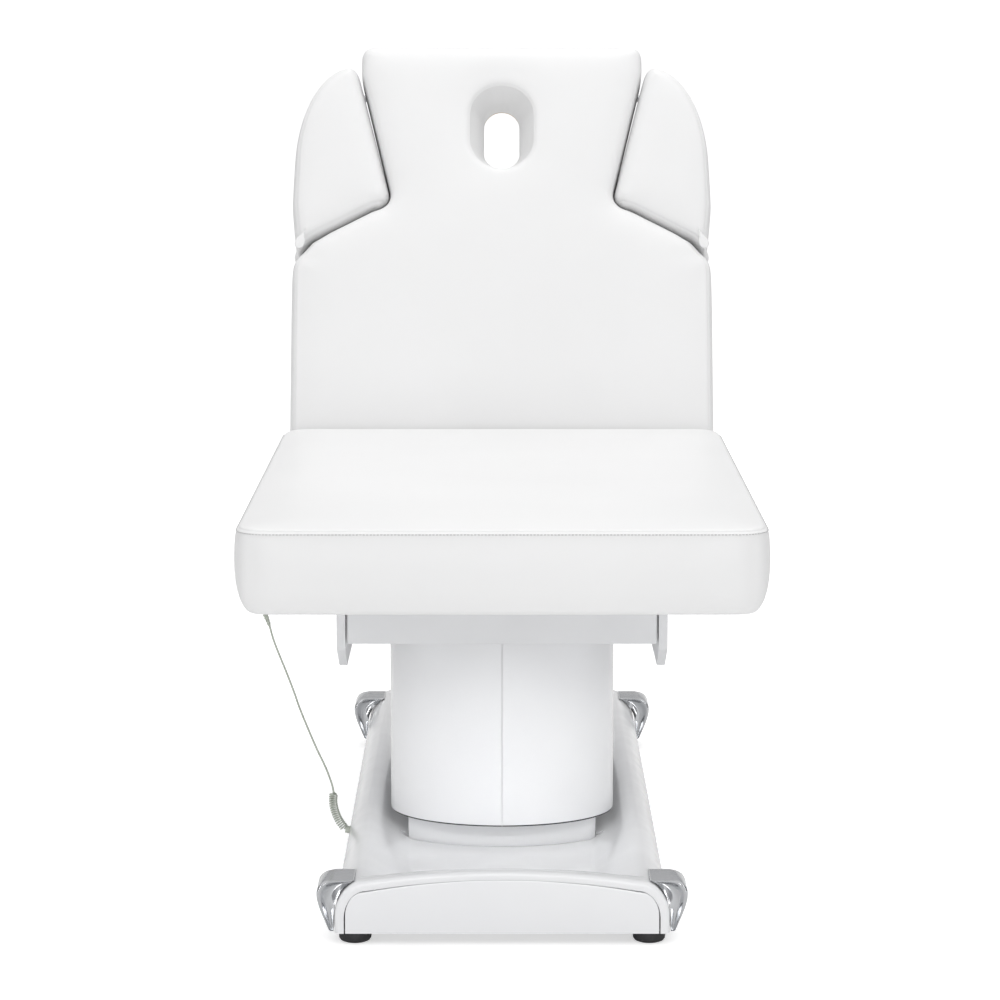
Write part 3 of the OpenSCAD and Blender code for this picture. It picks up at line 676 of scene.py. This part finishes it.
def build_pad(side, word):
    body = "pad_" + word
    boxed = band((-44.8, 16), (9, 22), (8, 46), groove=1.2)
    onto = [(10, 48.0), (12, 49.8), (15, 51.5), (20, 53)]
    rolled = band((-44.8, 16), (2.5, 10), (0.6, 30), groove=0.1)
    over = [(2.2, 38), (5.5, 44.5), (10.5, 49.6), (19, 53)]

    def weight(x, y):
        # the inner edge, beside the neck, is rolled; the outer and lower edges have a seam
        edge = 189 + (y - 444) / 4
        return max(0.0, min(1.0, 1 - (x - edge - 10) / 14)) if y > 425 else 0.0

    def place(p):
        x, y, z = on_back(p)
        return (side * x, y, z)

    pad, _ = cushion("pad_upholstery_" + word, pad_outline(), [boxed, rolled], [onto, over],
                     weight, place, step=6, grid_step=11, cap=2.5, crown=1.6)
    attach(pad, body)
    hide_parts("pad_cushion_" + word)
    inner = inset_track(evenly(pad_outline(), 8), 25)[25]
    panel("pad_board_panel_" + word, inner, -44.2, -41.6, place, MAT["ply"], body, "plywood",
          replaced=["pad_board_" + word])


# ---------- covers and base ----------

def wall(name, path, closed, z0, z1, thick, mat, body, slot, round_foot=1.6):
    """A standing sheet along a path in plan, with a rounded lower edge."""
    path = np.array(path, float)
    if closed:
        n = inward(path, 0)
    else:
        along = np.gradient(path, axis=0)
        n = np.stack([-along[:, 1], along[:, 0]], axis=1)
        n = n / np.linalg.norm(n, axis=1)[:, None]
    profile = [(0, z1), (0, z0 + round_foot), (round_foot * 0.3, z0 + round_foot * 0.3),
               (round_foot, z0), (thick, z0), (thick, z1)]
    rings = [[(*(p + k * o), z) for o, z in profile] for p, k in zip(path, n)]
    if closed:
        rings.append(rings[0])
    points, faces = loft(rings, close_ends=not closed)
    obj = put(name, points, faces, mat, body, slot)
    obj.data.shade_smooth()
    if closed:
        add_modifier(obj, "WELD", merge_threshold=1e-6)
        apply_modifiers(obj)
    smooth_by_angle(obj)
    return obj


def smooth_by_angle(obj, degrees=35):
    """Smooth shading, with the sharp edges marked."""
    work = bmesh.new()
    work.from_mesh(obj.data)
    for face in work.faces:
        face.smooth = True
    for edge in work.edges:
        if len(edge.link_faces) == 2:
            edge.smooth = edge.calc_face_angle(0) < math.radians(degrees)
    work.to_mesh(obj.data)
    work.free()


def inner_cover_plan(grow):
    """The inner cover in plan: straight sides and bowed ends."""
    r, half = 224 + grow, 141 + grow
    bow = math.degrees(math.asin(half / r))
    centre = 282 + 36 + grow - r
    return arc(0, BASE_MID - centre, r, r, 270 - bow, 270 + bow, 40) + \
        arc(0, BASE_MID + centre, r, r, 90 - bow, 90 + bow, 40)


def build_covers():
    half_w, end, straight = 169, 130, 208
    right = arc(0, BASE_MID - straight, half_w, end, -90, 0, 48)
    right += arc(0, BASE_MID + straight, half_w, end, 0, 90, 48)
    right[0], right[-1] = (0.3, right[0][1]), (0.3, right[-1][1])
    for side, word in ((1, "right"), (-1, "left")):
        path = [(side * x, y) for x, y in right][::side]
        cover = wall("cover_shell_" + word, path, False, 90, 371.6, 3, MAT["shell"], "bed_frame",
                     "shell_white")
        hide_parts("outer_cover_" + word)

        # painted shade: a black strip just inside the outer cover's lower edge, hanging a little below
        # it, stands in for the dark shadow line under that edge
        path = [(side * x * 0.994, BASE_MID + (y - BASE_MID) * 0.996) for x, y in right][::side]
        wall("painted_shadow_strip_" + word, path, False, 88.2, 92, 1.6, MAT["black"], "bed_frame",
             "black_plastic", 0.4)

    inner = wall("inner_cover_sleeve", evenly(inner_cover_plan(0), 6), True, 45, 364, 2,
                 MAT["shell"], "base", "shell_white")
    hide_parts("inner_cover")


def arch_outline(side, crest, drop, rx, rz, xs):
    """Half of the arched end of the base, from its foot up to the crest."""
    x1, z1 = side - rx, crest - drop * ((side - rx) / side) ** 2
    line = [(side, SHELL_Z), (side, SHELL_Z + 0.6 * (z1 - rz - SHELL_Z))]
    line += arc(x1, z1 - rz, rx, rz, 0, 90, 22)
    line += [(x * x1 / 190, crest - drop * (x * x1 / 190 / side) ** 2) for x in xs]
    return line


def smooth_min(a, b, k):
    h = max(k - abs(a - b), 0) / k
    return min(a, b) - h * h * k / 4


def inlet_hole(front):
    """The cut for the mains inlet, from front out through the rear end of the base."""
    back = BASE_REAR + 5
    return prism([(115, front), (165, front), (165, back), (115, back)], 18, 47)


def build_shell():
    """The tray: one thin moulded skin with rounded rims, an arched lip and a flat deck."""
    xs = [182, 174, 166, 160, 154, 149, 145, 141, 137, 133, 129, 125, 120, 112, 100, 84, 66, 46, 24, 0]

    def outline(inset=0):
        half = arch_outline(234 - inset, 105 - inset, 21.4, 44 - inset, 53 - inset, xs)
        return half + [(-x, z) for x, z in half[-2::-1]]

    def height(x, z, y):
        from_mid = abs(y - BASE_MID)
        foot = 144 - 16 * min(1, from_mid / 604)
        slope_side = (abs(x) - foot) / (236 - foot)
        slope_end = (from_mid - 604) / 36
        slope = -smooth_min(-slope_side, -slope_end, 0.10)
        tray = -smooth_min(-(DECK_Z + 62 * slope), -DECK_Z, 3)
        return smooth_min(z, tray, 8) if z > 40 else z

    ends = [640, 634, 629, 625, 622, 619, 616, 613, 610, 607, 604, 600, 595, 588]
    stations = [BASE_MID - e for e in ends] + list(np.linspace(BASE_MID - 575, BASE_MID + 575, 60))
    stations += [BASE_MID + e for e in reversed(ends)]
    rings = []
    lip = [(13.2, 11), (12.9, 0.4), (12.2, 0), (6, 0), (3.4, 0.5), (1.6, 1.7), (0.5, 3.6), (0, 6.4)]
    for inset, back in lip:
        rings.append([(x, BASE_FRONT + back, z) for x, z in outline(inset)])
    for y in stations:
        rings.append([(x, y, height(x, z, y)) for x, z in outline()])
    for inset, back in reversed(lip):
        rings.append([(x, BASE_REAR - back, z) for x, z in outline(inset)])
    count = len(rings[0])
    points = [p for ring in rings for p in ring]
    faces = [(r * count + k, r * count + k + 1, (r + 1) * count + k + 1, (r + 1) * count + k)
             for r in range(len(rings) - 1) for k in range(count - 1)]
    shell = put("base_shell_moulding", points, faces, MAT["shell"])
    if sum(p.normal.z * p.area for p in shell.data.polygons) < 0:
        shell.data.flip_normals()
    add_modifier(shell, "SOLIDIFY", thickness=3.6 * MM, offset=-1)
    apply_modifiers(shell)

    opening = evenly(inner_cover_plan(1.2), 6)
    cut(shell, "column_opening", *prism(opening, 30, 80))
    for x, y in ((x, BASE_MID + y) for x in (-146, 146) for y in (-262, 262)):
        notch = [(x + px, y + py) for px, py in arc(0, 0, 8, 8, 0, 345, 23)]
        cut(shell, "corner_notch", *prism(notch, 30, 80))
    socket = tube_rings([(-250, HAND_Y, 52), (-215, HAND_Y, 52)], [6.9, 6.9], 24)
    cut(shell, "socket_opening", *loft(socket))
    cut(shell, "inlet_opening", *inlet_hole(BASE_REAR - 30))
    smooth_by_angle(shell, 40)
    barrel = tube_rings([(-238.5, HAND_Y, 55.2), (-221, HAND_Y, 52)], [5.6, 5.6], 20)
    jack = put("handset_jack", *loft(barrel), MAT["cord"], "base", "cord_grey")
    smooth_by_angle(jack)
    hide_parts("handset_socket")
    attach(shell, "base")
    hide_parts("base_shell")


def build_end_panels():
    """The two arched end panels, set in the lips with a fine gap round them."""
    def outline(inset):
        half = arch_outline(220.5 - inset, 93 - inset, 22.9, 26 - inset, 36 - inset,
                            [170, 150, 130, 110, 90, 70, 50, 25, 0])
        return half + [(-x, z) for x, z in half[-2::-1]]

    for word, y0, way in (("front", BASE_FRONT, 1), ("rear", BASE_REAR, -1)):
        rings = [[(x, y0 + way * back, z) for x, z in outline(inset)]
                 for inset, back in ((1.1, 5), (1.1, 1.6), (1.4, 0.9), (2.2, 0.6), (3.4, 0.5))]
        points, faces = loft(rings)
        piece = put(word + "_end_panel", points, faces, MAT["shell"])
        if word == "rear":
            cut(piece, "inlet_opening", *inlet_hole(y0 - 20))
        smooth_by_angle(piece, 30)
        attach(piece, "base")
        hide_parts(word + "_fascia")


def build_caps():
    """Polished corner caps: a flat top with a round outer edge, and both end faces hollowed."""
    outer = [(206.5, 88.3), (214, 88.4), (238, 88.4)] + arc(236, 67.5, 21, 20.6, 82, 0, 12)
    outer += [(256, 60), (253.4, 51), (249.4, 38), (245.4, 26), (242.6, 18.4), (240.6, 16.4)]
    inner = arc(190, 37.8, 46.2, 55.0, 68.4, 0, 18) + [(236.2, 28), (236.0, 20), (236.0, 16.4)]
    rows, columns, depth, length = 40, 20, 8.0, 68

    def along(line, count):
        p = np.array(line, float)
        run = np.concatenate([[0], np.cumsum(np.linalg.norm(np.diff(p, axis=0), axis=1))])
        at = np.linspace(0, run[-1], count)
        return np.stack([np.interp(at, run, p[:, 0]), np.interp(at, run, p[:, 1])], axis=1)

    edge, root = along(outer, rows), along(inner, rows)
    for word in ("front_left", "front_right", "rear_left", "rear_right"):
        side = -1 if "left" in word else 1
        y0, way = (BASE_FRONT + 8, 1) if "front" in word else (BASE_REAR - 8, -1)

        def hollow(i, j):
            u, v = j / columns, i / (rows - 1)
            from_top = 88.9 - (edge[i] + (root[i] - edge[i]) * u)[1]
            across = math.sin(math.pi * min(1, max(0, (u - 0.08) / 0.92)) * 0.9)
            return depth * across * min(1, max(0, (from_top - 1.6) / 4)) * (1 - 0.35 * v)

        rim = [i * (columns + 1) for i in range(rows)]
        rim += [(rows - 1) * (columns + 1) + j for j in range(1, columns)]
        rim += [i * (columns + 1) + columns for i in range(rows - 1, -1, -1)]
        rim += [j for j in range(columns - 1, 0, -1)]
        points, faces, rims = [], [], []
        for start, inwards in ((y0 + way * 1.2, way), (y0 + way * (length - 1.2), -way)):
            first = len(points)
            for i in range(rows):
                for j in range(columns + 1):
                    x, z = edge[i] + (root[i] - edge[i]) * j / columns
                    points.append((side * x, start + inwards * hollow(i, j), z))
            faces += [(first + i * (columns + 1) + j, first + i * (columns + 1) + j + 1,
                       first + (i + 1) * (columns + 1) + j + 1, first + (i + 1) * (columns + 1) + j)
                      for i in range(rows - 1) for j in range(columns)]
            rims.append([first + i for i in rim])
        middle = np.mean([points[i] for i in rims[0]], axis=0)
        rounding = [(0.22, 1.5), (0.55, 2.4), (0.85, 4.2), (1, 7)]
        loops = [rims[0]]
        for grow, back in rounding + [(grow, length - back) for grow, back in reversed(rounding)]:
            ring = []
            for i in rims[0]:
                x, _, z = points[i]
                out = np.array([x - middle[0], z - middle[2]])
                round_by = 0.3 + 2.8 * min(1, max(0, (abs(x) - 240) / 12))
                out = out / np.linalg.norm(out) * grow * (round_by if abs(x) > 237 or z > 80 else 0)
                points.append((x + out[0], y0 + way * back, z + out[1]))
                ring.append(len(points) - 1)
            loops.append(ring)
        loops.append(rims[1])
        for a, b in zip(loops, loops[1:]):
            faces += [(a[k], a[(k + 1) % len(a)], b[(k + 1) % len(a)], b[k]) for k in range(len(a))]
        cap = put("polished_cap_" + word, points, faces, MAT["chrome"], "base", "polished_cap")
        smooth_by_angle(cap, 32)
        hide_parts("corner_cap_" + word)


# ---------- cord ----------

RELIEF_TOP, RELIEF_TIP = (-360, HAND_Y, 396), (-351, HAND_Y, 370)
LEAD = [RELIEF_TIP, (-343, HAND_Y, 342), (-326, HAND_Y, 298), (-315, HAND_Y, 268),
        (-304, HAND_Y, 236), (-283, HAND_Y, 184), (-268, HAND_Y, 151), (-259, HAND_Y, 126),
        (-256, HAND_Y, 112)]
COIL = [(-256, HAND_Y, 112), (-257, HAND_Y, 97), (-254, HAND_Y, 82), (-248, HAND_Y, 68),
        (-239, HAND_Y, 56)]
COIL_D = 14.5


def build_cord():
    lead = spline(LEAD, 6)
    axis = spline(COIL, 60)
    radius = (COIL_D - CORD_D) / 2
    run = np.concatenate([[0], np.cumsum([np.linalg.norm(b - a) for a, b in zip(axis, axis[1:])])])
    total = run[-1]
    count = COIL_TURNS * 18
    helix = []
    for i in range(1, count + 1):
        s = i / count
        at = np.array([np.interp(s * total, run, [p[k] for p in axis]) for k in range(3)])
        ahead = np.array([np.interp(min(s * total + 1, total), run, [p[k] for p in axis])
                          for k in range(3)])
        behind = np.array([np.interp(s * total - 1, run, [p[k] for p in axis]) for k in range(3)])
        t = (ahead - behind) / np.linalg.norm(ahead - behind)
        side = np.array([t[2], 0, -t[0]])
        turn = 2 * math.pi * COIL_TURNS * s
        reach = radius * min(1, s * COIL_TURNS / 0.75) * min(1, (1 - s) * COIL_TURNS / 0.6)
        helix.append(at + reach * (math.cos(turn) * side + math.sin(turn) * np.array([0, 1, 0])))
    tail = [np.array([-236.0, HAND_Y, 53.2]), np.array([-232.0, HAND_Y, 52.0])]
    path = [*lead, *helix, *tail]
    path = [p for i, p in enumerate(path) if i == 0 or np.linalg.norm(p - path[i - 1]) > 0.05]
    thickness = [CORD_D / 2] * (len(lead) + 6) + [CORD_D / 2 * COIL_WIRE] * (len(path) - len(lead) - 6)
    points, faces = loft(tube_rings(path, thickness, 10))
    cord = put("handset_cord", points, faces, MAT["cord"])
    length = sum(np.linalg.norm(b - a) for a, b in zip(path, path[1:])) * MM
    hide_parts("cord_lead", "cord_coil")
    [[c * MM for c in p] for p in path]
    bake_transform(cord)

    # the ribbed strain relief at the handset
    top, tip = Vector(RELIEF_TOP), Vector(RELIEF_TIP)
    path, radii = [top + (top - tip).normalized() * 2], [5.0]
    ribs = 6
    for i in range(ribs):
        for t, r in ((0.0, 1.0), (0.45, 1.0), (0.55, 0.78), (0.92, 0.78)):
            s = (i + t) / ribs
            path.append(top.lerp(tip, s))
            radii.append((5.0 - 2.4 * s) * r)
    path.append(tip)
    radii.append(2.2)
    relief = put("ribbed_strain_relief", *loft(tube_rings(path, radii, 20)), MAT["cord"],
                 "bed_frame", "cord_grey")
    smooth_by_angle(relief, 50)
    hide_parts("handset_strain_relief")


# ---------- CAD nodes that stay ----------

NODE_MATERIALS = {
    "paint": ["platform_frame", "side_plate_left", "side_plate_right", "seat_frame", "back_frame"],
    "steel": ["base_frame", "lift_top_plate", "handset_hook", "pad_bracket_left", "pad_bracket_right"],
    "bright": ["base_bolts", "lift_actuator_mid_tube", "lift_actuator_rod", "back_hinge_pins",
               "frame_bolts", "back_actuator_rod", "back_actuator_pins"],
    "alloy": ["column_outer", "column_middle", "column_inner"],
    "nylon": ["column_outer_glides", "column_middle_glides", "hinge_bushes"],
    "rubber": ["foot_front_left", "foot_front_right", "foot_rear_left", "foot_rear_right"],
    "black": ["lift_actuator_body", "control_box", "mains_inlet", "handset_socket",
              "back_actuator_housing"],
    "handset": ["handset_back", "handset_front"],
    "button": ["button_lift_up", "button_lift_down", "button_back_up", "button_back_down"],
}


def dress_nodes():
    for key, names in NODE_MATERIALS.items():
        for name in names:
            mesh = nodes[name].data
            mesh.materials.clear()
            mesh.materials.append(MAT[key])
    for name in ("platform_frame", "side_plate_left", "side_plate_right"):
        add_modifier(nodes[name], "WELD", merge_threshold=1e-5)
        add_modifier(nodes[name], "BEVEL", width=2.4 * MM, segments=3, angle_limit=math.radians(50))


make_camera()
build_cord()
dress_nodes()
build_shell()
build_end_panels()
build_caps()
build_covers()
build_seat()
build_back()
build_pad(1, "right")
build_pad(-1, "left")
make_studio()
